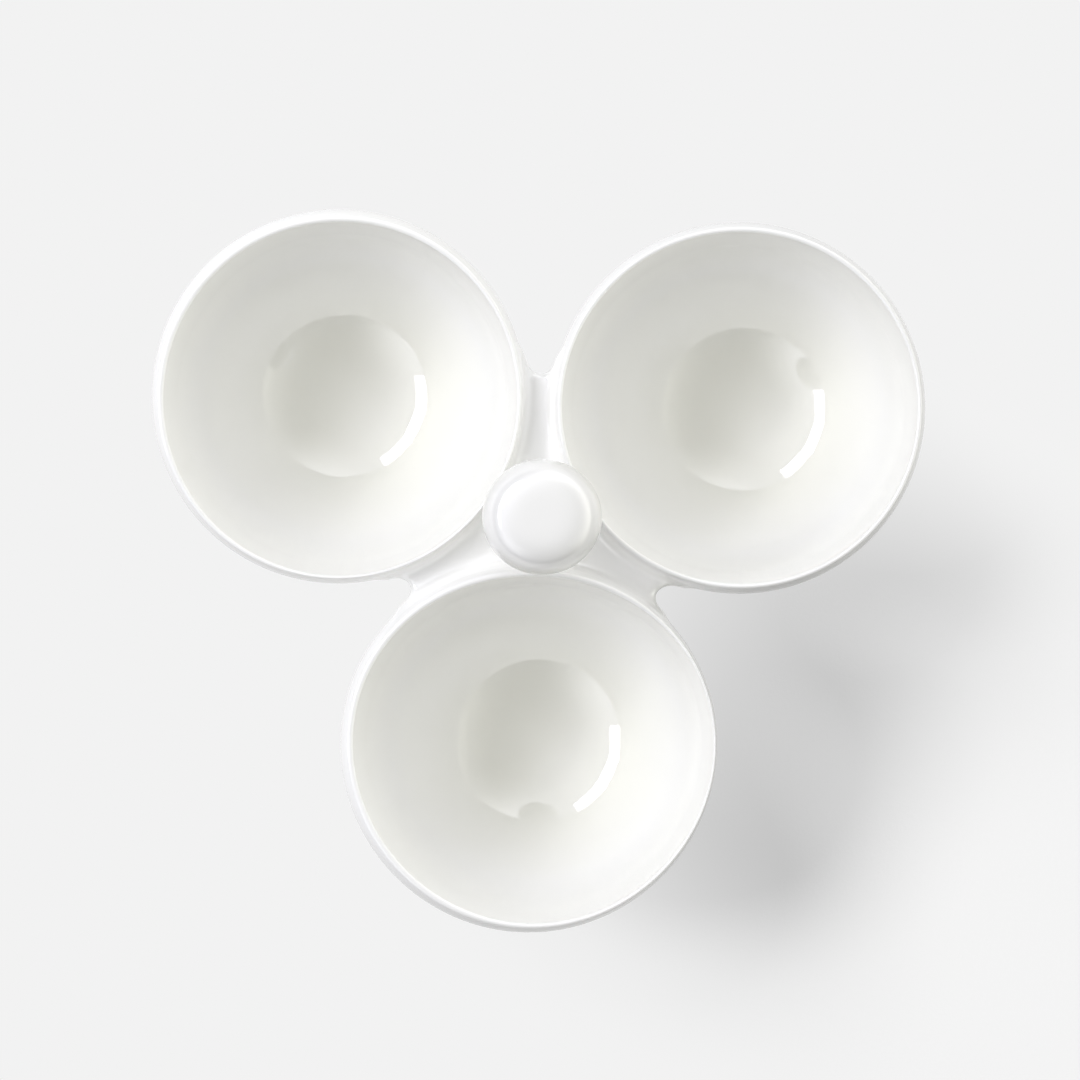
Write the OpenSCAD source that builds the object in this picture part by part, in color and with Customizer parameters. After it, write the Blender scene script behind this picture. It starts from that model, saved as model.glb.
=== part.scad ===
// Three-bowl serving dish with a round knob for a handle, in glazed stoneware. Units are millimetres.
// +Z is up, +X is to the right and -Y points to the front bowl.
// The origin is on the table, at the middle of the box that the dish fills.
// The parts are cast or turned one by one, set together with slip while leather hard, and fired as one.
// So each part seats face to face on its neighbours.

/* [Bowls] */
// Widest outside diameter of a bowl, at its shoulder
bowl_d = 127; // [110:1:145]
// Narrowest gap between two bowls
bowl_gap = 8; // [6:0.5:12]
// Wall thickness at the bottom, and the step from the mouth out to the shoulder
wall = 3.8; // [3:0.1:6]
// Thickness of the rounded lip
lip_t = 1.8; // [1.2:0.1:2.4]
// Depth of the shoulder below the top of the lip
shoulder_drop = 12; // [9:0.5:16]
// Height of the straight band inside the mouth, above the half-ball inside
mouth_band = 3; // [1:0.5:6]

/* [Foot rings] */
// Gap between the table and the lowest point of a bowl's round bottom
belly_lift = 2.4; // [1.5:0.1:5]
// Outside diameter of a foot ring
foot_d = 56; // [44:1:68]
// Width of a foot ring
foot_w = 4.5; // [3:0.5:7]
// Rounding of a foot ring's edges at the table
foot_edge_r = 0.8; // [0.3:0.1:1.2]
// Fillet between a foot ring and its bowl
foot_fillet_r = 2.5; // [1:0.5:5]

/* [Web] */
// Depth of the web's floor below the tops of the lips
web_drop = 8.5; // [7:0.5:15]
// Thickness of the web
web_t = 15; // [10:0.5:20]
// Fillet between the web's floor and a bowl
web_fillet_r = 4.2; // [2:0.1:4.5]
// Fillet between the web's underside and a bowl
web_under_r = 5; // [2:0.5:8]
// How far the web reaches past the line between two bowl centres
web_reach = 9.8; // [7:0.2:13]
// Rounding of the web's outer edges
web_edge_r = 1.5; // [0.6:0.1:2.5]

/* [Knob] */
// Diameter of the knob
knob_d = 40; // [34:1:48]
// Height of the knob's widest circle above the lips
knob_lift = 22.5; // [18:0.5:32]
// Height of the knob above its widest circle
knob_top_h = 9; // [8.5:0.5:13]
// Depth of the knob below its widest circle
knob_under_h = 10.5; // [9.5:0.5:14]
// Radius of the knob's rounded side
knob_side_r = 7.5; // [5:0.5:8]
// Thickness of the clay over the vent hole in the knob
knob_cap_t = 8; // [5:0.5:10]

/* [Neck] */
// Diameter of the neck at its waist
waist_d = 15; // [13:0.5:18]
// Depth of the waist below the knob
waist_drop = 6; // [4:0.5:9]
// Diameter of the neck's foot on the web's floor
neck_foot_d = 21; // [20:0.5:22]
// Depth of the round seat in the web that the neck's foot stands in
foot_seat = 2; // [1:0.5:4]
// Depth of the socket in the knob that takes the neck's spigot
knob_seat = 5; // [3:0.5:7]
// Diameter of the vent hole, which lets the thick clay dry and fire without cracking
vent_d = 8; // [5:0.5:9]

/* [Hidden] */
$fn = 180;
glaze_color = [0.96, 0.96, 0.94];
// Turns of the three bowls about the middle of the dish
right_turn = 30;
left_turn = 150;
front_turn = 270;
turns = [right_turn, left_turn, front_turn];
// How far a cutting shape runs past what it cuts
overrun = 1;
// How far a fillet's circle runs into the part beside it, so that the fillet ends in a sound edge
bite = 0.15;
// Radius of the side below the shoulder, as a share of the bowl's depth there
side_share = 0.8;
// Flare of the neck's foot, as a share of the step from waist to foot
flare_share = 0.7;

// Bowl
bowl_r = bowl_d / 2;
mouth_r = bowl_r - wall;
lip_r = lip_t / 2;
lip_x = mouth_r + lip_r;
cup_z = belly_lift + wall + mouth_r;
lip_z = cup_z + mouth_band;
rim_h = lip_z + lip_r;
shoulder_z = rim_h - shoulder_drop;
belly_h = shoulder_z - belly_lift;
// Side from the shoulder down to the belly
side_r = side_share * belly_h;
side_x = bowl_r - side_r;
// Belly, an arc about the bowl's axis that runs smoothly into the side
belly_r = (side_x * side_x + belly_h * belly_h - side_r * side_r) / (2 * (belly_h - side_r));
belly_z = belly_lift + belly_r;
belly_turn = atan2(shoulder_z - belly_z, side_x);
// Top of the side, which draws in from the shoulder to the lip
lip_rise = lip_z - shoulder_z;
lip_step = bowl_r - lip_x;
top_r = (lip_step * lip_step + lip_rise * lip_rise - lip_r * lip_r) / (2 * (lip_step - lip_r));
top_x = bowl_r - top_r;
lip_turn = atan2(lip_rise, lip_x - top_x);

// Foot ring
foot_r = foot_d / 2;
foot_in = foot_r - foot_w;
foot_mid = foot_r - foot_w / 2;
foot_h = belly_z - sqrt(pow(belly_r - wall / 2, 2) - foot_mid * foot_mid);
inner_fillet_r = min(foot_fillet_r, belly_lift);

// Places in plan, from the middle of the dish
pitch = bowl_d + bowl_gap;
pitch_r = pitch / sqrt(3);
hub_y = pitch_r / 4;
// The web's outer edges are hollow rounds that run into the two bowls beside them
edge_r = (pitch * pitch / 4 + web_reach * web_reach - bowl_r * bowl_r) / (2 * (bowl_r - web_reach));
edge_out = pitch_r / 2 + web_reach + edge_r;

// Web
floor_z = rim_h - web_drop;
under_z = floor_z - web_t;
web_in = side_x + side_r / 2;
top_fillet_z = floor_z + web_fillet_r;
top_fillet_x = fillet_x(web_fillet_r, top_fillet_z);
under_fillet_z = under_z - web_under_r;
under_fillet_x = fillet_x(web_under_r, under_fillet_z);

// Knob
knob_r = knob_d / 2;
knob_z = rim_h + knob_lift;
knob_bottom = knob_z - knob_under_h;
knob_side_x = knob_r - knob_side_r;
dome_r = cap_r(knob_side_x, knob_top_h, knob_side_r);
dome_z = knob_z + knob_top_h - dome_r;
dome_turn = atan2(knob_z - dome_z, knob_side_x);
base_r = cap_r(knob_side_x, knob_under_h, knob_side_r);
base_z = knob_bottom + base_r;
base_turn = atan2(knob_z - base_z, knob_side_x);

// Neck
vent_r = vent_d / 2;
waist_r = waist_d / 2;
neck_foot_r = neck_foot_d / 2;
spigot_r = (waist_r + vent_r) / 2;
waist_z = knob_bottom - waist_drop;
// Hollow under the knob, between the waist and the knob's underside
hollow_h = base_z - waist_z;
seat_r = base_r - bite;
hollow_r = (waist_r * waist_r + hollow_h * hollow_h - seat_r * seat_r) / (2 * (seat_r - waist_r));
hollow_x = waist_r + hollow_r;
// Flare at the foot, and the long hollow from it up to the waist
foot_step = neck_foot_r - waist_r;
flare_r = flare_share * foot_step;
flare_z = floor_z + flare_r;
stem_h = waist_z - flare_z;
stem_r = (foot_step * foot_step + stem_h * stem_h - flare_r * flare_r) / (2 * (foot_step - flare_r));
stem_x = waist_r + stem_r;
stem_end = waist_z - stem_r * stem_h / (stem_r - flare_r);

// Distance from a bowl's axis to the centre of a fillet of radius r at height z, on the bowl's outside
function fillet_x(r, z) =
    z < shoulder_z
        ? side_x + sqrt(pow(side_r + r - bite, 2) - pow(z - shoulder_z, 2))
        : top_x + sqrt(pow(top_r + r - bite, 2) - pow(z - shoulder_z, 2));

// Radius of a cap of height h that runs smoothly into a side of radius r, centred x from the axis
function cap_r(x, h, r) = (x * x + h * h - r * r) / (2 * (h - r));

// The unit step from one point to another
function step(from, to) = (to - from) / norm(to - from);

// The point at distance r from the origin in the direction of turn
function spoke(r, turn) = r * [cos(turn), sin(turn)];

// A slice of a disc between two turns
module sector(r, from, to) {
    mid = (from + to) / 2;
    far = 2 * r;
    intersection() {
        circle(r = r);
        polygon([[0, 0], spoke(far, from), spoke(far, mid), spoke(far, to)]);
    }
}

// The part of a round cap that lies past the line from [x, z] in the direction of turn
module cap(centre_z, r, x, z, turn) {
    far = 2 * r;
    intersection() {
        translate([0, centre_z])
            circle(r = r);
        polygon([[0, z], [x, z], [x, z] + spoke(far, turn), [0, z + sign(turn) * far]]);
    }
}

// Fillet of radius r between the wall of the foot ring at x and the belly, on the side that way points to
module foot_fillet(x, r, way) {
    centre_x = x + way * r;
    centre_z = belly_z - sqrt(pow(belly_r + r, 2) - centre_x * centre_x);
    centre = [centre_x, centre_z];
    inside = centre + (r + wall / 2) * step(centre, [0, belly_z]);
    foot = [foot_mid, centre_z];
    root = [foot_mid, foot_h];
    difference() {
        polygon(way > 0 ? [foot, centre, inside, root] : [root, inside, centre, foot]);
        translate(centre)
            circle(r = r);
    }
}

// Half section of a foot ring
module foot_section() {
    translate([foot_in, foot_edge_r])
        square([foot_w, foot_h - foot_edge_r]);
    translate([foot_in + foot_edge_r, 0])
        square([foot_w - 2 * foot_edge_r, foot_h]);
    for (x = [foot_in + foot_edge_r, foot_r - foot_edge_r])
        translate([x, foot_edge_r])
            circle(r = foot_edge_r);
    foot_fillet(foot_r, foot_fillet_r, 1);
    foot_fillet(foot_in, inner_fillet_r, -1);
}

// Half section of a bowl's outside, filled to its axis and up to the middle of the lip
module bowl_outside() {
    cap(belly_z, belly_r, side_x, shoulder_z, belly_turn);
    translate([side_x, shoulder_z])
        sector(side_r, belly_turn, 0);
    translate([top_x, shoulder_z])
        sector(top_r, 0, lip_turn);
    polygon([[0, shoulder_z], [top_x, shoulder_z], [lip_x, lip_z], [0, lip_z]]);
}

// Half section of a bowl's inside
module bowl_inside() {
    translate([0, cup_z])
        sector(mouth_r, -90, 0);
    translate([0, cup_z])
        square([mouth_r, mouth_band + overrun]);
}

// One bowl about its own axis
module bowl() {
    color(glaze_color)
        rotate_extrude() {
            difference() {
                bowl_outside();
                bowl_inside();
            }
            translate([lip_x, lip_z])
                circle(r = lip_r);
            foot_section();
        }
}

// Moves a shape from the origin to the hub, the upright line through the knob's middle
module at_hub() {
    translate([0, hub_y, 0])
        children();
}

// Moves a shape from the origin to the axis of the bowl at a turn
module at_bowl(turn) {
    at_hub()
        translate(spoke(pitch_r, turn))
            children();
}

// Hollow fillet between the web and a bowl, centred at [x, z], above the web (way 1) or below it (way -1)
module web_fillet(x, z, r, way) {
    inward = step([x, z], [z < shoulder_z ? side_x : top_x, shoulder_z]);
    difference() {
        polygon([[x, z], [x, z - way * r], [web_in, z - way * r], [x, z] + (r + wall) * inward]);
        translate([x, z])
            circle(r = r);
    }
}

// Section of the web by its distance from one bowl's axis, seated on that bowl's outside
module web_section() {
    difference() {
        union() {
            translate([web_in, under_z])
                square([pitch_r - web_in + overrun, web_t]);
            web_fillet(top_fillet_x, top_fillet_z, web_fillet_r, 1);
            web_fillet(under_fillet_x, under_fillet_z, web_under_r, -1);
        }
        bowl_outside();
    }
}

// The third of the web's space that lies nearest to the bowl at a turn, out to the axes of the outer edges
module web_share(turn) {
    at_hub()
        linear_extrude(height = rim_h)
            polygon([[0, 0], spoke(edge_out, turn - 60), spoke(pitch_r, turn), spoke(edge_out, turn + 60)]);
}

// Half section of what is left of the web beside an outer edge, about the edge's own axis
module edge_section() {
    side = edge_r + bite + side_r;
    inset_r = side_r - web_edge_r;
    top_z = floor_z - web_edge_r;
    low_z = under_z + web_edge_r;
    top = [side - sqrt(inset_r * inset_r - pow(shoulder_z - top_z, 2)), top_z];
    low = [side - sqrt(inset_r * inset_r - pow(shoulder_z - low_z, 2)), low_z];
    top_ease = top + spoke(web_edge_r, 135);
    low_ease = low + spoke(web_edge_r, 225);
    rise = web_drop + web_edge_r;
    far = edge_r + 2 * side_r;
    translate([side, shoulder_z])
        sector(
            side_r,
            180 + asin((shoulder_z - top_z) / inset_r),
            180 + asin((shoulder_z - low_z) / inset_r)
        );
    for (centre = [top, low])
        translate(centre)
            circle(r = web_edge_r);
    polygon([
        low,
        low_ease,
        low_ease + web_t * [1, -1],
        [far, low_ease.y - web_t],
        [far, top_ease.y + rise],
        top_ease + rise * [1, 1],
        top_ease,
        top
    ]);
}

// What is cut away beside an outer edge of the web
module edge_cut() {
    rotate_extrude()
        difference() {
            translate([0, under_z - web_under_r])
                square([edge_r + web_t, web_under_r + web_t + web_drop]);
            edge_section();
        }
}

// The web that holds the three bowls together and carries the neck
module center_web() {
    color(glaze_color)
        difference() {
            union() {
                for (turn = turns)
                    intersection() {
                        at_bowl(turn)
                            rotate_extrude()
                                web_section();
                        web_share(turn);
                    }
            }
            at_hub() {
                for (turn = turns)
                    translate(spoke(edge_out, turn + 60))
                        edge_cut();
                translate([0, 0, floor_z - foot_seat])
                    cylinder(r = neck_foot_r, h = foot_seat + overrun);
                translate([0, 0, under_z - overrun])
                    cylinder(r = vent_r, h = web_t + overrun);
            }
        }
}

// Half section of the knob's outside
module knob_outside() {
    cap(dome_z, dome_r, knob_side_x, knob_z, dome_turn);
    cap(base_z, base_r, knob_side_x, knob_z, base_turn);
    translate([knob_side_x, knob_z])
        sector(knob_side_r, base_turn, dome_turn);
}

// The knob, with the socket for the neck's spigot and the end of the vent hole
module knob() {
    color(glaze_color)
        at_hub()
            rotate_extrude()
                difference() {
                    knob_outside();
                    translate([0, knob_bottom - overrun])
                        square([spigot_r, knob_seat + overrun]);
                    translate([0, knob_bottom])
                        square([vent_r, knob_under_h + knob_top_h - knob_cap_t]);
                }
}

// Half section of the neck's outside, from the web's floor up into the knob
module neck_outside() {
    inward = step([hollow_x, waist_z], [0, base_z]);
    inside = [hollow_x, waist_z] + (hollow_r + knob_seat) * inward;
    difference() {
        translate([0, floor_z])
            square([neck_foot_r, waist_z - floor_z]);
        translate([neck_foot_r, flare_z])
            circle(r = flare_r);
        intersection() {
            translate([stem_x, waist_z])
                circle(r = stem_r);
            translate([0, stem_end])
                square([neck_foot_r + overrun, waist_z - stem_end]);
        }
    }
    difference() {
        polygon([[0, waist_z], [hollow_x, waist_z], inside, [0, inside.y]]);
        translate([hollow_x, waist_z])
            circle(r = hollow_r);
        knob_outside();
    }
}

// The neck, seated in the web and in the knob
module knob_neck() {
    color(glaze_color)
        at_hub()
            rotate_extrude()
                difference() {
                    union() {
                        neck_outside();
                        translate([0, floor_z - foot_seat])
                            square([neck_foot_r, foot_seat]);
                        translate([0, waist_z])
                            square([spigot_r, waist_drop + knob_seat]);
                    }
                    translate([0, floor_z - foot_seat - overrun])
                        square([vent_r, knob_z - floor_z + foot_seat + overrun]);
                }
}

module bowl_left() {
    at_bowl(left_turn)
        bowl();
}

module bowl_right() {
    at_bowl(right_turn)
        bowl();
}

module bowl_front() {
    at_bowl(front_turn)
        bowl();
}

bowl_left();
bowl_right();
bowl_front();
center_web();
knob_neck();
knob();
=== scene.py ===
import math

import bpy
import numpy as np
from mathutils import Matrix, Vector


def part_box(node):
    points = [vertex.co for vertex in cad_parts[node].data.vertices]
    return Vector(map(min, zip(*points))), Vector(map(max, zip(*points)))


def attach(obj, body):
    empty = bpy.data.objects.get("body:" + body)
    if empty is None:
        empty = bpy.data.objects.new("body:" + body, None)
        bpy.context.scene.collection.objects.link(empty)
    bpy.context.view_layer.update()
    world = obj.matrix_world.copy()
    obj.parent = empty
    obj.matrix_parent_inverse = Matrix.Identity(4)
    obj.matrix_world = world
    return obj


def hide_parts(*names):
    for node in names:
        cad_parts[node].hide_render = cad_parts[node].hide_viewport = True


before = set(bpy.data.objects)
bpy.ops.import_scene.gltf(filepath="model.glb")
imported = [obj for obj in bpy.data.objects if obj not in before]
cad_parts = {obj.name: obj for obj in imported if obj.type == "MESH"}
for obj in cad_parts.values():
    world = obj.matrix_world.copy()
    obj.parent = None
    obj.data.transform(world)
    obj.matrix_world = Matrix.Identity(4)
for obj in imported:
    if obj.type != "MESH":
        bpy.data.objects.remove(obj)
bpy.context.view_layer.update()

# The dish is drawn in millimetres and turned into metres where a mesh or a material is made.
MM = 0.001


# Sizes of the dish


def node_box(node):
    """The node's lowest and highest corner in millimetres."""
    low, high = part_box(node)
    return np.array(low) / MM, np.array(high) / MM


bowl_low, bowl_high = node_box("bowl_front")
knob_low, knob_high = node_box("knob")
BOWLS = ("bowl_left", "bowl_right", "bowl_front")

# Bowl: its radius and height come from the frame
BOWL_R = (bowl_high[0] - bowl_low[0]) / 2
RIM_H = bowl_high[2]
WALL = 3.8
LIP_R = 0.9
MOUTH_R = BOWL_R - WALL
LIP_X = MOUTH_R + LIP_R
LIP_Z = RIM_H - LIP_R
# Slant of the inside below the lip, off the upright, in degrees
MOUTH_FLARE = 12.0
# Thickness of body and glaze at the bottom of a bowl
BOTTOM_T = 5.8
# Height at which the ball of the true inside ends, with an upright band between it and the lip
MOUTH_BAND = 3.0
CUP_Z = LIP_Z - MOUTH_BAND
# Outside: the widest circle, the round of the side below it, and the belly that runs on to the foot
SHOULDER_DROP = 12.0
SHOULDER_Z = RIM_H - SHOULDER_DROP
BELLY_LIFT = 2.4
BELLY_H = SHOULDER_Z - BELLY_LIFT
SIDE_SHARE = 0.8
SIDE_R = SIDE_SHARE * BELLY_H
SIDE_X = BOWL_R - SIDE_R
BELLY_R = (SIDE_X**2 + BELLY_H**2 - SIDE_R**2) / (2 * (BELLY_H - SIDE_R))
BELLY_Z = BELLY_LIFT + BELLY_R
BELLY_TURN = math.degrees(math.atan2(SHOULDER_Z - BELLY_Z, SIDE_X))
# Outside above the widest circle: one round stretch that runs into the lip
LIP_RISE = LIP_Z - SHOULDER_Z
LIP_STEP = BOWL_R - LIP_X
TOP_R = (LIP_STEP**2 + LIP_RISE**2 - LIP_R**2) / (2 * (LIP_STEP - LIP_R))
TOP_X = BOWL_R - TOP_R
LIP_TURN = math.degrees(math.atan2(LIP_RISE, LIP_X - TOP_X))

# Foot ring
FOOT_R = 28.0
FOOT_W = 4.5
FOOT_IN = FOOT_R - FOOT_W
FOOT_EDGE_R = 0.8
FOOT_FILLET_R = 2.5

# Plan
HUB = (knob_low + knob_high)[:2] / 2
CENTRES = {name: (node_box(name)[0] + node_box(name)[1])[:2] / 2 for name in BOWLS}
PITCH_R = float(np.linalg.norm(CENTRES["bowl_front"] - HUB))
PITCH = PITCH_R * math.sqrt(3)

# Web: its floor below the rims, its thickness, and how far it reaches out past the line between two bowls
WEB_DROP = 8.5
WEB_T = 15.0
WEB_REACH = 9.8
FLOOR_Z = RIM_H - WEB_DROP
UNDER_Z = FLOOR_Z - WEB_T
# Round hollow that the web ends in between two bowls: it touches both their sides
EDGE_R = ((PITCH / 2) ** 2 + WEB_REACH**2 - BOWL_R**2) / (2 * (BOWL_R - WEB_REACH))
EDGE_OUT = PITCH_R / 2 + WEB_REACH + EDGE_R

# Knob: its whole height, and the height of its top above its widest circle
KNOB_R = (knob_high[0] - knob_low[0]) / 2
KNOB_H = 19.5
KNOB_TOP_H = 14.0
KNOB_BOTTOM = knob_high[2] - KNOB_H
KNOB_Z = knob_high[2] - KNOB_TOP_H
KNOB_UNDER_H = KNOB_Z - KNOB_BOTTOM
# How flat its top and underside are: the power by which each falls away with the distance from its middle
KNOB_TOP_FLAT = 4.6
KNOB_UNDER_FLAT = 2.6

# Neck: its waist, its radius at the web's floor, and its seats in the web and in the knob
WAIST_R = 7.5
WAIST_DROP = 6.0
WAIST_Z = KNOB_BOTTOM - WAIST_DROP
STEM_FOOT_R = 8.1
FOOT_SEAT = 2.0
KNOB_SEAT = 5.0
# Collar that flares out under the knob, and how far its inner and outer edges reach into the knob
COLLAR = 2.5
COLLAR_TUCK = 0.8
COLLAR_EDGE_TUCK = 0.4
# Vent hole up through the neck, and what is left of the knob above it
VENT_R = 4.0
KNOB_CAP_T = 8.0
SPIGOT_R = (WAIST_R + VENT_R) / 2


# Meshes


# Spacing of the points along a section: on long stretches, near the rim, on fillets, on the foot's edges
# and on the lip
PACE = 0.8
RIM_PACE = 0.5
FILLET_PACE = 0.3
EDGE_PACE = 0.15
LIP_PACE = 0.12
# Steps round the axis of a bowl, and of the neck and the knob
BOWL_STEPS = 384
TURNED_STEPS = 256
# An edge that turns by more than this many degrees stays sharp
SHARP_TURN = 50


def arc(x, z, r, start, stop, pace=PACE):
    """Points along a round stretch of a section, about pace apart, from one turn to the other."""
    count = max(3, round(abs(math.radians(stop - start)) * r / pace))
    turns = np.radians(np.linspace(start, stop, count + 1))
    return [(x + r * math.cos(t), z + r * math.sin(t)) for t in turns]


def line(start, stop, pace=PACE):
    """Points along a straight stretch of a section, without its ends."""
    start, stop = np.array(start), np.array(stop)
    count = max(2, round(np.linalg.norm(stop - start) / pace))
    return [tuple(start + (stop - start) * k / count) for k in range(1, count)]


def make_piece(name, points, faces, material):
    """A smooth mesh from points in millimetres."""
    mesh = bpy.data.meshes.new(name)
    mesh.from_pydata((np.asarray(points) * MM).tolist(), [], faces)
    mesh.polygons.foreach_set("use_smooth", [True] * len(mesh.polygons))
    mesh.set_sharp_from_angle(angle=math.radians(SHARP_TURN))
    mesh.materials.append(material)
    piece = bpy.data.objects.new(name, mesh)
    bpy.context.scene.collection.objects.link(piece)
    return piece


def revolve(section, segments):
    """Points and faces of a section turned about the Z axis.

    The section's ends lie on the axis, or it is a closed loop.
    """
    section = np.array(section)
    on_axis = section[0, 0] == 0
    rings = section[1:-1] if on_axis else section
    turns = np.arange(segments) * 2 * math.pi / segments
    x, y = rings[:, :1] * np.cos(turns), rings[:, :1] * np.sin(turns)
    points = np.stack([x, y, np.repeat(rings[:, 1:], segments, axis=1)], axis=2).reshape(-1, 3)
    faces = []
    steps = len(rings) - 1 if on_axis else len(rings)
    for ring in range(steps):
        here, there = ring * segments, (ring + 1) % len(rings) * segments
        for k in range(segments):
            n = (k + 1) % segments
            faces.append((here + k, here + n, there + n, there + k))
    if on_axis:
        first, last = len(points), len(points) + 1
        points = np.vstack([points, [0, 0, section[0, 1]], [0, 0, section[-1, 1]]])
        end = (len(rings) - 1) * segments
        for k in range(segments):
            n = (k + 1) % segments
            faces.append((first, n, k))
            faces.append((last, end + k, end + n))
    return points, faces


# Small irregularities of a dish that is made by hand


# The whole dish is a little narrower than its box, so that nothing below carries it past the box
FIRED = 0.994
# How far each bowl's mouth, inner bottom and outside stand off their true places, and how much wider its
# outside is
OFF_TRUE = {
    "bowl_left": {"mouth": (0.46, -0.67), "bottom": (1.4, 1.5), "side": (-0.41, 0.44), "swell": 0.20},
    "bowl_right": {"mouth": (0.63, -0.84), "bottom": (2.9, -0.4), "side": (0.65, -0.56), "swell": -0.13},
    "bowl_front": {"mouth": (0.71, -0.41), "bottom": (3.0, 1.5), "side": (-0.75, -0.17), "swell": 0.17},
}
# Out-of-round of each mouth: how many waves run round it, how far each stands out, and its turn in degrees
OUT_OF_ROUND = {
    "bowl_left": ((2, 0.15, 40), (3, 0.10, 10)),
    "bowl_right": ((2, 0.37, 0), (3, 0.10, 50)),
    "bowl_front": ((2, 1.20, 0), (3, 0.60, 30)),
}
# How much of its mouth's waves a bowl's outside follows
OUTSIDE_WAVE_SHARE = 0.4
# How far beside a bowl's side its irregularity still carries the web along
WARP_REACH = 6.0
# How far the knob leans off the middle, and how flat its round is from front to back
LEAN = np.array([2.05, -0.25])
KNOB_DEPTH = 0.965
# Least distance from a bowl's axis, where a direction away from the axis is worked out
LEAST_R = 1e-6


def smooth_step(x):
    """Goes smoothly from 0 to 1 as x does, and stays there outside."""
    x = np.clip(x, 0, 1)
    return x * x * (3 - 2 * x)


def bowl_side(r, z):
    """Distance from the outside of a bowl, taken as filled, at radius r and height z."""
    side = np.hypot(r - SIDE_X, z - SHOULDER_Z) - SIDE_R
    top = np.hypot(np.maximum(r - TOP_X, 0), z - SHOULDER_Z) - TOP_R
    belly = np.hypot(r, z - BELLY_Z) - BELLY_R
    turn = np.degrees(np.arctan2(z - SHOULDER_Z, r - SIDE_X))
    low = np.where(turn > BELLY_TURN, side, belly)
    return np.where(z > SHOULDER_Z, top, low)


def warp(points):
    """Carries the points of any piece along with the irregularities of the bowls beside it."""
    points = np.array(points, dtype=float)
    moved = points.copy()
    z = points[:, 2]
    rise = smooth_step(z / SHOULDER_Z)[:, None]
    for name, off in OFF_TRUE.items():
        rel = points[:, :2] - CENTRES[name]
        r = np.maximum(np.hypot(rel[:, 0], rel[:, 1]), LEAST_R)
        out = rel / r[:, None]
        turn = np.arctan2(rel[:, 1], rel[:, 0])
        near = 1 - smooth_step(np.maximum(bowl_side(r, z), r - BOWL_R) / WARP_REACH)
        depth = np.where(z < CUP_Z, np.hypot(r, z - CUP_Z), r) - MOUTH_R
        outside = smooth_step(depth / WALL)[:, None]
        height = smooth_step((z - BELLY_LIFT - WALL) / (RIM_H - BELLY_LIFT - WALL))[:, None]
        wave = sum(a * np.cos(n * (turn - math.radians(t))) for n, a, t in OUT_OF_ROUND[name])
        wave = (wave * np.minimum(r / BOWL_R, 1))[:, None] * out
        inner = np.array(off["bottom"]) * (1 - height) + (np.array(off["mouth"]) + wave) * height
        outer = (np.array(off["side"]) + off["swell"] * out + wave * OUTSIDE_WAVE_SHARE) * rise
        moved[:, :2] += near[:, None] * (inner * (1 - outside) + outer * outside)
    moved[:, :2] *= FIRED
    return moved


def lean(points):
    """Leans the neck and the knob a little off the upright."""
    points = np.array(points, dtype=float)
    share = smooth_step((points[:, 2] - FLOOR_Z) / (KNOB_BOTTOM - FLOOR_Z))
    points[:, :2] += share[:, None] * LEAN
    points[:, 1] -= share * (points[:, 1] - HUB[1] - LEAN[1]) * (1 - KNOB_DEPTH)
    points[:, :2] *= FIRED
    return points


# Nodes of materials and of the world


# Sockets of a mix of two colours, which share their names with others on the same node
MIX_FACTOR, MIX_FIRST, MIX_SECOND, MIX_RESULT = 0, 6, 7, 2


class Nodes:
    """The emptied node tree of a material or a world."""

    def __init__(self, owner):
        owner.use_nodes = True
        self.tree = owner.node_tree
        self.tree.nodes.clear()

    def add(self, kind, inputs=(), **settings):
        """A new node with its settings. Each input takes a plain value or another node's output."""
        node = self.tree.nodes.new("ShaderNode" + kind)
        for setting, value in settings.items():
            setattr(node, setting, value)
        for socket, value in dict(inputs).items():
            if isinstance(value, bpy.types.NodeSocket):
                self.tree.links.new(value, node.inputs[socket])
            else:
                node.inputs[socket].default_value = value
        return node

    def math(self, operation, *values):
        return self.add("Math", enumerate(values), operation=operation).outputs["Value"]

    def reach(self, vector, toward):
        """How far a vector reaches in a direction."""
        return self.add("VectorMath", {0: vector, 1: toward}, operation="DOT_PRODUCT").outputs["Value"]

    def noise(self, place, scale, detail, roughness=0.5):
        inputs = {"Vector": place, "Scale": scale, "Detail": detail, "Roughness": roughness}
        return self.add("TexNoise", inputs).outputs["Fac"]

    def spread(self, value, low, high, to_low, to_high, ease="LINEAR"):
        """Maps the stretch from low to high onto the one from to_low to to_high, and stays at its ends."""
        inputs = {"Value": value, "From Min": low, "From Max": high, "To Min": to_low, "To Max": to_high}
        return self.add("MapRange", inputs, interpolation_type=ease).outputs["Result"]

    def ramp(self, value, stops):
        """Colour that runs through stops, each a place from 0 to 1 and a colour."""
        node = self.add("ValToRGB", {"Fac": value})
        while len(node.color_ramp.elements) < len(stops):
            node.color_ramp.elements.new(0.5)
        for element, (at, color) in zip(node.color_ramp.elements, stops):
            element.position = at
            element.color = (*color, 1)
        return node.outputs["Color"]

    def mix_colors(self, factor, first, second, blend="MIX"):
        inputs = {MIX_FACTOR: factor, MIX_FIRST: first, MIX_SECOND: second}
        return self.add("Mix", inputs, data_type="RGBA", blend_type=blend).outputs[MIX_RESULT]

    def mix_shaders(self, factor, first, second):
        return self.add("MixShader", {"Fac": factor, 1: first, 2: second}).outputs["Shader"]

    def bump(self, height, depth, **more):
        """Normal of a surface that the height raises by up to depth, in metres."""
        return self.add("Bump", {"Height": height, "Distance": depth, **more}).outputs["Normal"]


def direction(turn, rise=0):
    """Unit vector at a turn about the dish and a height above the horizon, both in degrees."""
    turn, rise = math.radians(turn), math.radians(rise)
    return Vector((math.cos(turn) * math.cos(rise), math.sin(turn) * math.cos(rise), math.sin(rise)))


# Glaze


# How strongly the glaze mirrors, as an index of refraction
GLAZE_IOR = 2.1
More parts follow.
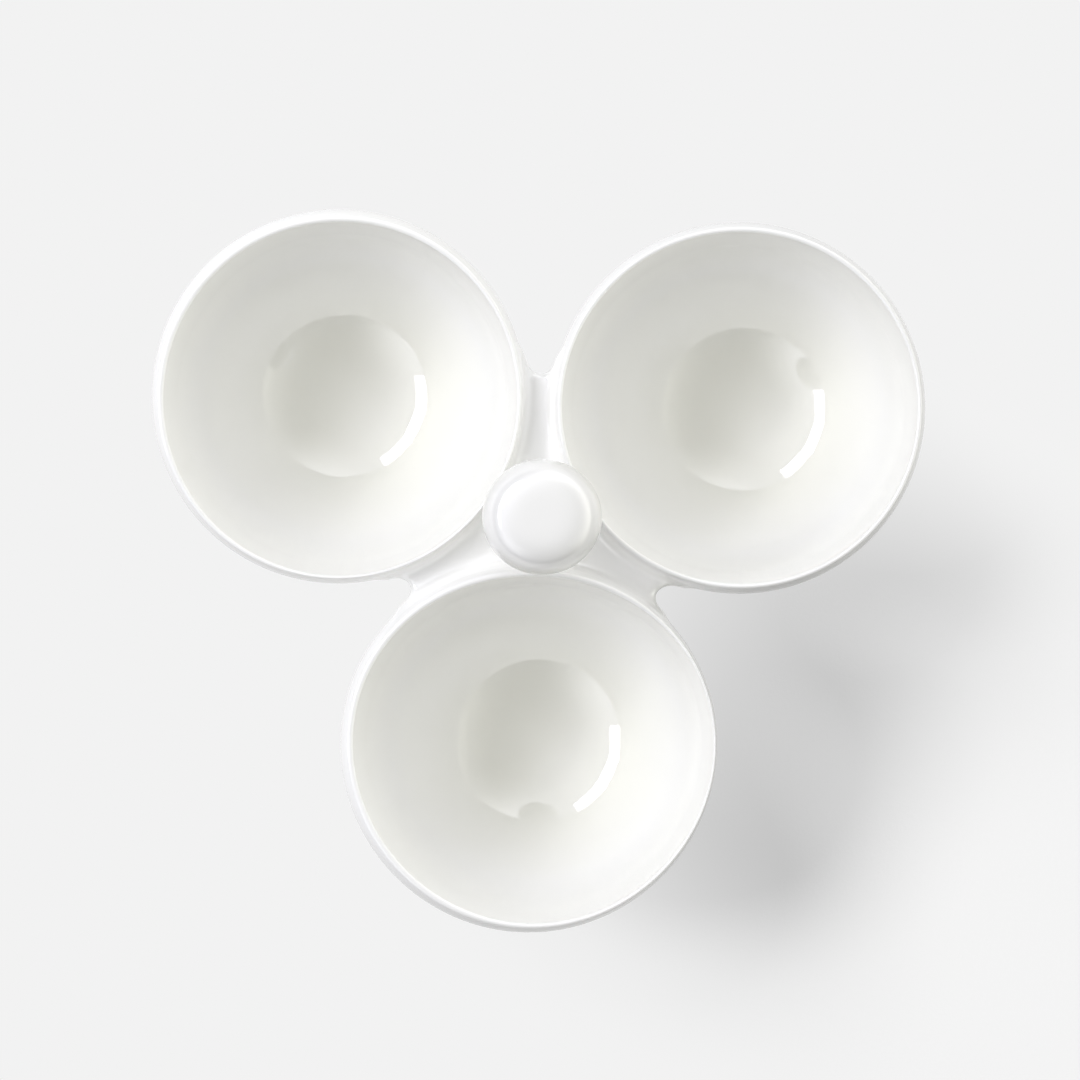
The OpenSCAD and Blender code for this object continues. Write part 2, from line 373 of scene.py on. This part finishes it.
# Its gloss wanders too, from full to half between these two levels of a noise.
GLOSS_FULL_AT = 0.3
GLOSS_HALF_AT = 0.7
# Its colour wanders from stretches that are a shade creamier to ones that are a shade paler and cooler.
GLAZE_TONES = (
    (0.30, (0.868, 0.868, 0.844)),
    (0.52, (0.875, 0.875, 0.854)),
    (0.72, (0.880, 0.881, 0.864)),
)
# Painted shade tint: low in a bowl the glaze takes on the warm tint of the shade there; the tint, and the
# heights over which it sets in
PAINTED_SHADE_TINT = (1.0, 0.998, 0.93, 1)
SHADE_TINT_START = 36.0
SHADE_TINT_FULL = 12.0
# Depth of the slow waves and of the fine peel in its surface
WAVE_DEPTH = 0.45
PEEL_DEPTH = 0.006
# Bare clay under a foot: its colours, its grain, and the heights over which the glaze sets in
CLAY_TONES = ((0.25, (0.55, 0.52, 0.46)), (0.70, (0.70, 0.67, 0.60)))
CLAY_ROUGHNESS = 0.85
CLAY_GRAIN_DEPTH = 0.08
CLAY_TOP = 0.9
GLAZE_START = 1.2
# How far the wiped edge of the glaze wanders up and down
WIPE_WANDER = 0.9


def glaze(name, tone=1.0, roughness=0.03, foot=False):
    """Clear gloss glaze over a white body. With foot, the clay is bare where the piece stands."""
    material = bpy.data.materials.new(name)
    nodes = Nodes(material)
    place = nodes.add("TexCoord").outputs["Object"]
    height = nodes.add("SeparateXYZ", {"Vector": place}).outputs["Z"]
    # tone makes the whole glaze of a piece lighter or darker, which paints light or shade on it.
    pools = nodes.ramp(
        nodes.noise(place, scale=22, detail=3),
        [(at, [part * tone for part in color]) for at, color in GLAZE_TONES],
    )
    # Painted shade: the glaze turns warmer low in a bowl, where the shade lies.
    depth = nodes.spread(height, SHADE_TINT_START * MM, SHADE_TINT_FULL * MM, 0, 1)
    waves = nodes.bump(nodes.noise(place, scale=28, detail=1, roughness=0.3), WAVE_DEPTH * MM)
    peel = nodes.bump(nodes.noise(place, scale=900, detail=2), PEEL_DEPTH * MM, Normal=waves)
    cloud = nodes.noise(place, scale=90, detail=2)
    surface = nodes.add(
        "BsdfPrincipled",
        {
            "IOR": GLAZE_IOR,
            "Specular IOR Level": 0.5,
            "Base Color": nodes.mix_colors(depth, pools, PAINTED_SHADE_TINT, blend="MULTIPLY"),
            "Roughness": nodes.spread(cloud, GLOSS_FULL_AT, GLOSS_HALF_AT, roughness, 2 * roughness),
            "Normal": peel,
        },
    ).outputs["BSDF"]
    if foot:
        grain = nodes.noise(place, scale=1400, detail=3, roughness=0.7)
        clay = nodes.add(
            "BsdfPrincipled",
            {
                "Roughness": CLAY_ROUGHNESS,
                "Base Color": nodes.ramp(grain, CLAY_TONES),
                "Normal": nodes.bump(grain, CLAY_GRAIN_DEPTH * MM),
            },
        ).outputs["BSDF"]
        wander = nodes.noise(place, scale=160, detail=2)
        wiped = nodes.math("MULTIPLY_ADD", wander, WIPE_WANDER * MM, height)
        glazed = nodes.spread(wiped, CLAY_TOP * MM, GLAZE_START * MM, 0, 1)
        surface = nodes.mix_shaders(glazed, clay, surface)
    nodes.add("OutputMaterial", {"Surface": surface})
    return material


# Paper


# Tone of the paper as seen, and the light that it sends up to the dish on either side
PAPER_SEEN = 0.888
PAPER_LIT_SIDE = 0.75
PAPER_DARK_SIDE = 0.0
# Where the shadow falls, the paper's colour, and how much of its tone comes from the lights there
PAPER_MATT = 0.04
PAPER_SUNLIT = 0.368
# Turn in which the shadow falls, in degrees
SHADOW_TURN = -27
# From the hub along that turn: where the paper goes over to its dark side, and where it goes over to matt
DARK_SIDE_START = -70.0
DARK_SIDE_FULL = 30.0
MATT_START = -16.0
MATT_FULL = 150.0
# Across that turn: how far to the right the shadow's middle lies, and where to its sides the paper stops
# being matt
SHADOW_ASIDE = 26.0
MATT_HALF = 35.0
MATT_END = 135.0
# Grain of the paper
PAPER_GRAIN_DEPTH = 0.1
PAPER_GRAIN_STRENGTH = 0.5


def paper():
    """White background paper that keeps the shadow on one side.

    From below it is clear, so that the feet can be seen.
    """
    material = bpy.data.materials.new("paper")
    nodes = Nodes(material)
    place = nodes.add("TexCoord").outputs["Object"]
    hub = (*(HUB * FIRED * MM), 0)
    from_hub = nodes.add("VectorMath", {0: place, 1: hub}, operation="SUBTRACT").outputs["Vector"]
    along = nodes.reach(from_hub, direction(SHADOW_TURN))
    across = nodes.reach(from_hub, direction(SHADOW_TURN + 90))
    # The paper is matt only where the long shadow falls. Elsewhere it glows with one even tone.
    ahead = nodes.spread(along, MATT_START * MM, MATT_FULL * MM, 0, 1, "SMOOTHSTEP")
    beside = nodes.math("ABSOLUTE", nodes.math("ADD", across, SHADOW_ASIDE * MM))
    beside = nodes.spread(beside, MATT_HALF * MM, MATT_END * MM, 1, 0, "SMOOTHSTEP")
    shaded = nodes.math("MULTIPLY", ahead, beside)
    # Seen by the camera or in the glaze it is one pale grey. The light that it sends up to the dish is
    # weaker, most of all on the side of the shadow.
    path = nodes.add("LightPath").outputs
    seen = path["Is Camera Ray"]
    for ray in ("Is Glossy Ray", "Is Transmission Ray"):
        seen = nodes.math("MAXIMUM", seen, path[ray])
    sides = (DARK_SIDE_START * MM, DARK_SIDE_FULL * MM, PAPER_LIT_SIDE, PAPER_DARK_SIDE)
    unseen_tone = nodes.spread(along, *sides, "SMOOTHSTEP")
    tone = nodes.spread(seen, 0, 1, unseen_tone, PAPER_SEEN)
    grain = nodes.noise(place, scale=700, detail=3)
    matt = nodes.add(
        "BsdfDiffuse",
        {
            "Color": nodes.math("MULTIPLY", shaded, PAPER_MATT),
            "Normal": nodes.bump(grain, PAPER_GRAIN_DEPTH * MM, Strength=PAPER_GRAIN_STRENGTH),
        },
    )
    lit = nodes.math("MULTIPLY", shaded, PAPER_SUNLIT)
    glow = nodes.add("Emission", {"Strength": nodes.math("SUBTRACT", tone, lit)})
    front = nodes.add("AddShader", {0: matt.outputs["BSDF"], 1: glow.outputs["Emission"]}).outputs["Shader"]
    below = nodes.add("NewGeometry").outputs["Backfacing"]
    clear = nodes.add("BsdfTransparent").outputs["BSDF"]
    nodes.add("OutputMaterial", {"Surface": nodes.mix_shaders(below, front, clear)})
    return material


# Bowls


def foot_fillet(x, r, way):
    """Centre of a fillet between the foot ring's wall at x and the belly, and its turn about the belly's."""
    centre_x = x + way * r
    centre_z = BELLY_Z - math.sqrt((BELLY_R + r) ** 2 - centre_x**2)
    return centre_x, centre_z, math.degrees(math.atan2(centre_z - BELLY_Z, centre_x))


def bowl_section():
    """Section of a bowl, from the middle of its inside over the lip to the middle of its underside."""
    slant = math.radians(MOUTH_FLARE)
    mouth = (LIP_X - LIP_R * math.cos(slant), LIP_Z + LIP_R * math.sin(slant))
    # The inside is a ball that runs smoothly into the slant
    bottom = BELLY_LIFT + BOTTOM_T
    cup_r = (math.cos(slant) * mouth[0] - math.sin(slant) * (mouth[1] - bottom)) / (1 - math.sin(slant))
    outer_x, outer_z, outer_turn = foot_fillet(FOOT_R, FOOT_FILLET_R, 1)
    inner_r = min(FOOT_FILLET_R, BELLY_LIFT)
    inner_x, inner_z, inner_turn = foot_fillet(FOOT_IN, inner_r, -1)
    points = [(0, bottom)] + arc(0, bottom + cup_r, cup_r, -90, -MOUTH_FLARE)[1:]
    points += line(points[-1], mouth)
    points += arc(LIP_X, LIP_Z, LIP_R, 180 - MOUTH_FLARE, LIP_TURN, LIP_PACE)
    points += arc(TOP_X, SHOULDER_Z, TOP_R, LIP_TURN, 0, RIM_PACE)[1:]
    points += arc(SIDE_X, SHOULDER_Z, SIDE_R, 0, BELLY_TURN)[1:]
    points += arc(0, BELLY_Z, BELLY_R, BELLY_TURN, outer_turn)[1:]
    points += arc(outer_x, outer_z, FOOT_FILLET_R, outer_turn + 180, 180, FILLET_PACE)[1:]
    points += line((FOOT_R, outer_z), (FOOT_R, FOOT_EDGE_R))
    points += arc(FOOT_R - FOOT_EDGE_R, FOOT_EDGE_R, FOOT_EDGE_R, 0, -90, EDGE_PACE)
    points += line((FOOT_R - FOOT_EDGE_R, 0), (FOOT_IN + FOOT_EDGE_R, 0))
    points += arc(FOOT_IN + FOOT_EDGE_R, FOOT_EDGE_R, FOOT_EDGE_R, -90, -180, EDGE_PACE)
    points += line((FOOT_IN, FOOT_EDGE_R), (FOOT_IN, inner_z))
    points += arc(inner_x, inner_z, inner_r, 0, inner_turn + 180, FILLET_PACE)
    points += arc(0, BELLY_Z, BELLY_R, inner_turn, -90)[1:-1]
    points += [(0, BELLY_LIFT)]
    return points


def make_bowl(name, material):
    points, faces = revolve(bowl_section(), BOWL_STEPS)
    points[:, :2] += CENTRES[name]
    piece = make_piece(name + "_glazed", warp(points), faces, material)
    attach(piece, "root")
    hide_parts(name)


# Web


# Width over which the glaze rounds a seam, and over which it rounds the web's outer edges
SEAM_BLEND = 6.5
EDGE_BLEND = 5.0
# How far the web's skin lies under the side of a bowl past the seam, and how far it reaches into the wall
SKIN = 0.005
TUCK = 0.9
# How far past its rounded seams the skin may still run
SKIRT = 1.0
# Spacing of the grid that the web's surface is found on, and the room that the grid leaves round the web
WEB_GRID = 0.5
GRID_ROOM = 3.0
# How often the found points are drawn onto the surface, the step that its slope is measured over, and the
# least square of a slope that a move is divided by
DRAW_PASSES = 4
SLOPE_STEP = 1e-3
LEAST_SLOPE_SQUARE = 0.05


def soft_min(a, b, width):
    """The lesser of two distances, rounded where they are nearly alike."""
    near = np.maximum(width - np.abs(a - b), 0) / width
    return np.minimum(a, b) - near**3 * width / 6


def stem():
    """Radius of the hollow of the neck's side below the waist, and how far its centre lies from the axis."""
    height = WAIST_Z - FLOOR_Z
    step = STEM_FOOT_R - WAIST_R
    radius = (step**2 + height**2) / (2 * step)
    return radius, WAIST_R + radius


def neck_side(r, z):
    """Distance from the side of the neck's lower stretch, at radius r from the hub and height z."""
    stem_r, stem_x = stem()
    return r - stem_x + np.sqrt(np.maximum(stem_r**2 - (z - WAIST_Z) ** 2, 0))


def web_distance(x, y, z):
    """Distance from the web, its seams included, at places given from the hub."""
    slab = -soft_min(FLOOR_Z - z, z - UNDER_Z, EDGE_BLEND)
    plan = None
    bowls = []
    for name in BOWLS:
        off = CENTRES[name] - HUB
        away = -off / np.linalg.norm(off)
        # The web ends between the other two bowls in a hollow that is round as seen from above
        out = x * away[0] + y * away[1]
        side = x * away[1] - y * away[0]
        end = soft_min(np.hypot(out - EDGE_OUT, side) - EDGE_R, EDGE_OUT - out, EDGE_BLEND)
        plan = end if plan is None else np.minimum(plan, end)
        bowls.append(bowl_side(np.hypot(x - off[0], y - off[1]), z))
    web = -soft_min(-slab, plan, EDGE_BLEND)
    whole = web
    for bowl in bowls:
        whole = soft_min(whole, bowl, SEAM_BLEND)
    hub_r = np.hypot(x, y)
    whole = soft_min(whole, neck_side(hub_r, z), SEAM_BLEND)
    tuck = -(np.minimum.reduce(bowls) + TUCK)
    near = web - SEAM_BLEND - SKIRT
    return np.maximum.reduce([whole + SKIN, tuck, near, VENT_R - hub_r])


def crossings(field):
    """Sum and count of the places where the surface crosses the edges of each cell of a grid, in cells."""
    shape = np.array(field.shape) - 1
    total = np.zeros((*shape, 3))
    count = np.zeros(shape)
    for axis in range(3):
        others = [k for k in range(3) if k != axis]
        for u in (0, 1):
            for v in (0, 1):
                start = np.zeros(3, int)
                start[others[0]], start[others[1]] = u, v
                end = start.copy()
                end[axis] = 1
                a = field[tuple(slice(s, s + n) for s, n in zip(start, shape))]
                b = field[tuple(slice(s, s + n) for s, n in zip(end, shape))]
                cross = (a < 0) != (b < 0)
                share = np.where(cross, a / np.where(cross, a - b, 1), 0)
                spot = np.broadcast_to(start.astype(float), (*shape, 3)).copy()
                spot[..., axis] += share
                total += spot * cross[..., None]
                count += cross
    return total, count


def net_faces(field, index):
    """A face round each inner edge of the grid that the surface crosses, from the points about it."""
    faces = []
    for axis in range(3):
        u, v = (axis + 1) % 3, (axis + 2) % 3
        inner = [slice(1, -1)] * 3
        first, second = list(inner), list(inner)
        first[axis], second[axis] = slice(0, -1), slice(1, None)
        a, b = field[tuple(first)], field[tuple(second)]
        at = np.argwhere((a < 0) != (b < 0))
        out = (a < 0)[tuple(at.T)]
        corners = []
        for du, dv in ((0, 0), (1, 0), (1, 1), (0, 1)):
            cell = at.copy()
            cell[:, u] += du
            cell[:, v] += dv
            corners.append(index[tuple(cell.T)])
        quads = np.stack(corners, axis=1)
        quads[~out] = quads[~out][:, ::-1]
        faces += quads.tolist()
    return faces


def draw_onto(distance, points, reach):
    """Draws points onto the surface where distance is zero, each by no more than reach in a pass."""
    steps = np.eye(3) * SLOPE_STEP
    for _ in range(DRAW_PASSES):
        value = distance(*points.T)
        rises = [distance(*(points + step).T) - distance(*(points - step).T) for step in steps]
        slope = np.stack([rise / (2 * SLOPE_STEP) for rise in rises], axis=1)
        square = np.maximum((slope**2).sum(axis=1), LEAST_SLOPE_SQUARE)
        move = -(value / square)[:, None] * slope
        far = np.maximum(np.linalg.norm(move, axis=1) / reach, 1)
        points = points + move / far[:, None]
    return points


def net(distance, low, high, grid):
    """Points and faces of the surface where distance is zero, found on a grid and then drawn onto it."""
    axes = [np.arange(a, b + grid, grid) for a, b in zip(low, high)]
    field = distance(*np.meshgrid(*axes, indexing="ij"))
    total, count = crossings(field)
    used = count > 0
    index = np.full(count.shape, -1)
    index[used] = np.arange(used.sum())
    points = np.array(low) + (np.argwhere(used) + total[used] / count[used][:, None]) * grid
    return draw_onto(distance, points, grid / 2), net_faces(field, index)


def make_web(material):
    reach = PITCH_R / 2 + WEB_REACH + SEAM_BLEND + GRID_ROOM
    low = (-reach, -reach, UNDER_Z - SEAM_BLEND - GRID_ROOM)
    high = (reach, reach, FLOOR_Z + SEAM_BLEND + GRID_ROOM)
    points, faces = net(web_distance, low, high, WEB_GRID)
    points[:, :2] += HUB
    piece = make_piece("center_web_glazed", warp(points), faces, material)
    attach(piece, "root")
    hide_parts("center_web")


# Neck and knob


# Points along the knob's underside and along its top
KNOB_UNDER_STEPS = 60
KNOB_TOP_STEPS = 110


def knob_fall(x, height, power):
    """Height of the knob's surface above or below its widest circle, at x from the axis."""
    return height * math.sqrt(max(1 - (x / KNOB_R) ** power, 0))


def neck_section():
    """Closed section of the neck: down the vent hole to the seat in the web, and up the side to the knob."""
    stem_r, stem_x = stem()
    collar_x = WAIST_R + COLLAR
    collar_z = KNOB_Z - knob_fall(collar_x, KNOB_UNDER_H, KNOB_UNDER_FLAT)
    drop = collar_z - WAIST_Z
    hollow_r = (COLLAR**2 + drop**2) / (2 * COLLAR)
    touch = 180 - math.degrees(math.asin(drop / hollow_r))
    seat_z = FLOOR_Z - FOOT_SEAT
    low_turn = 180 + math.degrees(math.asin((WAIST_Z - seat_z) / stem_r))
    tuck = KNOB_BOTTOM + KNOB_SEAT
    points = [(SPIGOT_R, tuck), (SPIGOT_R, collar_z + COLLAR_TUCK)]
    points += [(collar_x, collar_z + COLLAR_EDGE_TUCK)]
    points += arc(WAIST_R + hollow_r, WAIST_Z, hollow_r, touch, 180, FILLET_PACE)
    points += arc(stem_x, WAIST_Z, stem_r, 180, low_turn)[1:]
    points += [(VENT_R, seat_z)]
    points += line((VENT_R, seat_z), (VENT_R, tuck))
    points += [(VENT_R, tuck)]
    return points[::-1]


def knob_section():
    """Section of the knob, from the middle of its top round the outside to the end of its vent hole."""
    vent_top = knob_high[2] - KNOB_CAP_T
    points = [(0, vent_top), (VENT_R, vent_top)]
    vent_foot = (VENT_R, KNOB_Z - knob_fall(VENT_R, KNOB_UNDER_H, KNOB_UNDER_FLAT))
    points += line((VENT_R, vent_top), vent_foot)
    # Equal steps of the turn about the widest circle, close where the surface is upright
    start = math.acos(vent_foot[0] / KNOB_R)
    for turn in np.linspace(start, 0, KNOB_UNDER_STEPS):
        x = KNOB_R * math.cos(turn)
        points.append((x, KNOB_Z - knob_fall(x, KNOB_UNDER_H, KNOB_UNDER_FLAT)))
    for turn in np.linspace(0, math.pi / 2, KNOB_TOP_STEPS)[1:-1]:
        x = KNOB_R * math.cos(turn)
        points.append((x, KNOB_Z + knob_fall(x, KNOB_TOP_H, KNOB_TOP_FLAT)))
    points += [(0, knob_high[2])]
    return points[::-1]


def make_turned(name, section, node, material):
    points, faces = revolve(section, TURNED_STEPS)
    points[:, :2] += HUB
    piece = make_piece(name, lean(points), faces, material)
    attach(piece, "root")
    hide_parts(node)


# Camera and floor


# The photograph is square, and its places are given in pixels of that frame
PHOTO = 1080
HUB_PX = (535.9, 516.3)
PITCH_PX = 399.8
# Turn of the camera about the line of sight in degrees, its height above the rims in metres, and its sensor
CAMERA_ROLL = 1.25
CAMERA_ABOVE = 1.45
SENSOR = 36.0
# Half the floor's side, in metres
FLOOR_HALF = 6.0


def make_camera():
    """Looks straight down on the dish, with the hub and the bowls where the photograph has them."""
    px = PITCH * FIRED * MM / PITCH_PX
    roll = math.radians(CAMERA_ROLL)
    right = Vector((math.cos(roll), math.sin(roll), 0))
    up = Vector((-math.sin(roll), math.cos(roll), 0))
    across = (PHOTO / 2 - HUB_PX[0]) * px
    down = (PHOTO / 2 - HUB_PX[1]) * px
    camera = bpy.data.objects.new("camera", bpy.data.cameras.new("camera"))
    camera.data.sensor_width = SENSOR
    camera.data.lens = SENSOR * CAMERA_ABOVE / (PHOTO * px)
    hub = HUB * FIRED * MM
    camera.location = Vector((*hub, RIM_H * MM + CAMERA_ABOVE)) + across * right - down * up
    camera.rotation_euler = (0, 0, roll)
    bpy.context.scene.collection.objects.link(camera)
    bpy.context.scene.camera = camera


def make_floor():
    """Wide sheet of paper under the dish."""
    half = FLOOR_HALF
    mesh = bpy.data.meshes.new("floor")
    corners = [(-half, -half, 0), (half, -half, 0), (half, half, 0), (-half, half, 0)]
    mesh.from_pydata(corners, [], [(0, 1, 2, 3)])
    mesh.materials.append(paper())
    floor = bpy.data.objects.new("floor", mesh)
    bpy.context.scene.collection.objects.link(floor)
    return floor


# Lights


# The window: its panes stand side by side, each at a turn about the dish and with an energy of its own
WINDOW_PANES = ((134, 7.3), (157, 14.5), (180, 7.9))
WINDOW_COLOR = (0.95, 0.95, 1.0)
# Turn of its middle and height above the horizon in degrees, distance and size of a pane in metres
WINDOW_TURN = 157
WINDOW_RISE = 36
WINDOW_AWAY = 2.6
PANE_SIZE = (1.05, 0.36)
# Lights on the paper alone: turn, height above the horizon, breadth in degrees, strength
PAPER_LIGHTS = ((174, 43, 20, 21.7), (133, 42, 26, 18.4))
# Pale surfaces of the room, in rings from low to high: height above the horizon in degrees, how narrow each
# patch of light is, and the turn and strength of each patch
ROOM_RINGS = (
    (10, 14, ((9, 1.53), (39, 1.53), (69, 1.53), (339, 1.47))),
    (32, 12, ((9, 0.51), (81, 1.37), (189, 0.39), (225, 1.51), (297, 0.25), (333, 0.58))),
    (46, 30, ((180, 0.17),)),
    (55, 10, ((69, 0.04), (129, 1.25), (189, 0.63))),
    (88, 8, ((9, 0.47),)),
)
# The room's light is warm, and cooler the nearer it lies to the window's side.
ROOM_COLOR = (1.0, 0.995, 0.93, 1)
WINDOW_SIDE_COLOR = (0.97, 0.97, 1.065, 1)
WHITE = (1, 1, 1, 1)


def place_light(name, light, out, away):
    """Puts a light at a distance from the dish in the direction out, facing the dish."""
    lamp = bpy.data.objects.new(name, light)
    lamp.location = out * away
    lamp.rotation_euler = out.to_track_quat("Z", "Y").to_euler()
    bpy.context.scene.collection.objects.link(lamp)
    return lamp


def make_pane(turn, energy):
    """A soft box that stands for one pane of the window."""
    light = bpy.data.lights.new("window", "AREA")
    light.shape = "RECTANGLE"
    light.size, light.size_y = PANE_SIZE
    light.energy = energy
    light.color = WINDOW_COLOR
    place_light("window", light, direction(turn, WINDOW_RISE), WINDOW_AWAY)


def make_paper_light(floor, turn, rise, breadth, strength):
    """Far light that only the paper takes, with the dish's shadow in it."""
    light = bpy.data.lights.new("paper_light", "SUN")
    light.angle = math.radians(breadth)
    light.energy = strength
    far = place_light("paper_light", light, direction(turn, rise), 1)
    only = bpy.data.collections.new("paper_only")
    only.objects.link(floor)
    far.light_linking.receiver_collection = only


def make_world():
    """A room that lights the dish softly from several sides."""
    world = bpy.data.worlds.new("studio")
    bpy.context.scene.world = world
    nodes = Nodes(world)
    place = nodes.add("TexCoord").outputs["Generated"]
    total = 0.0
    for rise, narrowness, patches in ROOM_RINGS:
        for turn, strength in patches:
            toward = nodes.math("MAXIMUM", nodes.reach(place, direction(turn, rise)), 0.0)
            patch = nodes.math("MULTIPLY", nodes.math("POWER", toward, narrowness), strength)
            total = nodes.math("ADD", patch, total)
    # From 0 opposite the window to 1 on its side
    window_side = nodes.math("ADD", nodes.reach(place, direction(WINDOW_TURN)), 1.0)
    window_side = nodes.math("MULTIPLY", window_side, 0.5)
    color = nodes.mix_colors(window_side, ROOM_COLOR, WINDOW_SIDE_COLOR)
    room = nodes.add("Background", {"Color": color, "Strength": total}).outputs["Background"]
    # Past the edge of the paper the camera sees a backdrop of the paper's tone, which lights nothing.
    backdrop = nodes.add("Background", {"Color": WHITE, "Strength": PAPER_SEEN}).outputs["Background"]
    seen = nodes.add("LightPath").outputs["Is Camera Ray"]
    nodes.add("OutputWorld", {"Surface": nodes.mix_shaders(seen, room, backdrop)})


make_camera()
floor = make_floor()
make_world()
for pane in WINDOW_PANES:
    make_pane(*pane)
for paper_light in PAPER_LIGHTS:
    make_paper_light(floor, *paper_light)

bowl_material = glaze("bowl_glaze", foot=True)
for bowl_name in BOWLS:
    make_bowl(bowl_name, bowl_material)
# The web's glaze is a lighter copy: painted light that lifts the shade between the bowls.
make_web(glaze("web_glaze", tone=1.05))
# The glaze of the knob and neck is a darker copy: painted shade that tones down the light on them. It is
# also less glossy.
handle_painted_shade_material = glaze("handle_glaze", tone=0.94, roughness=0.1)
make_turned("knob_neck_glazed", neck_section(), "knob_neck", handle_painted_shade_material)
make_turned("knob_glazed", knob_section(), "knob", handle_painted_shade_material)

bpy.context.scene.view_settings.view_transform = "Standard"
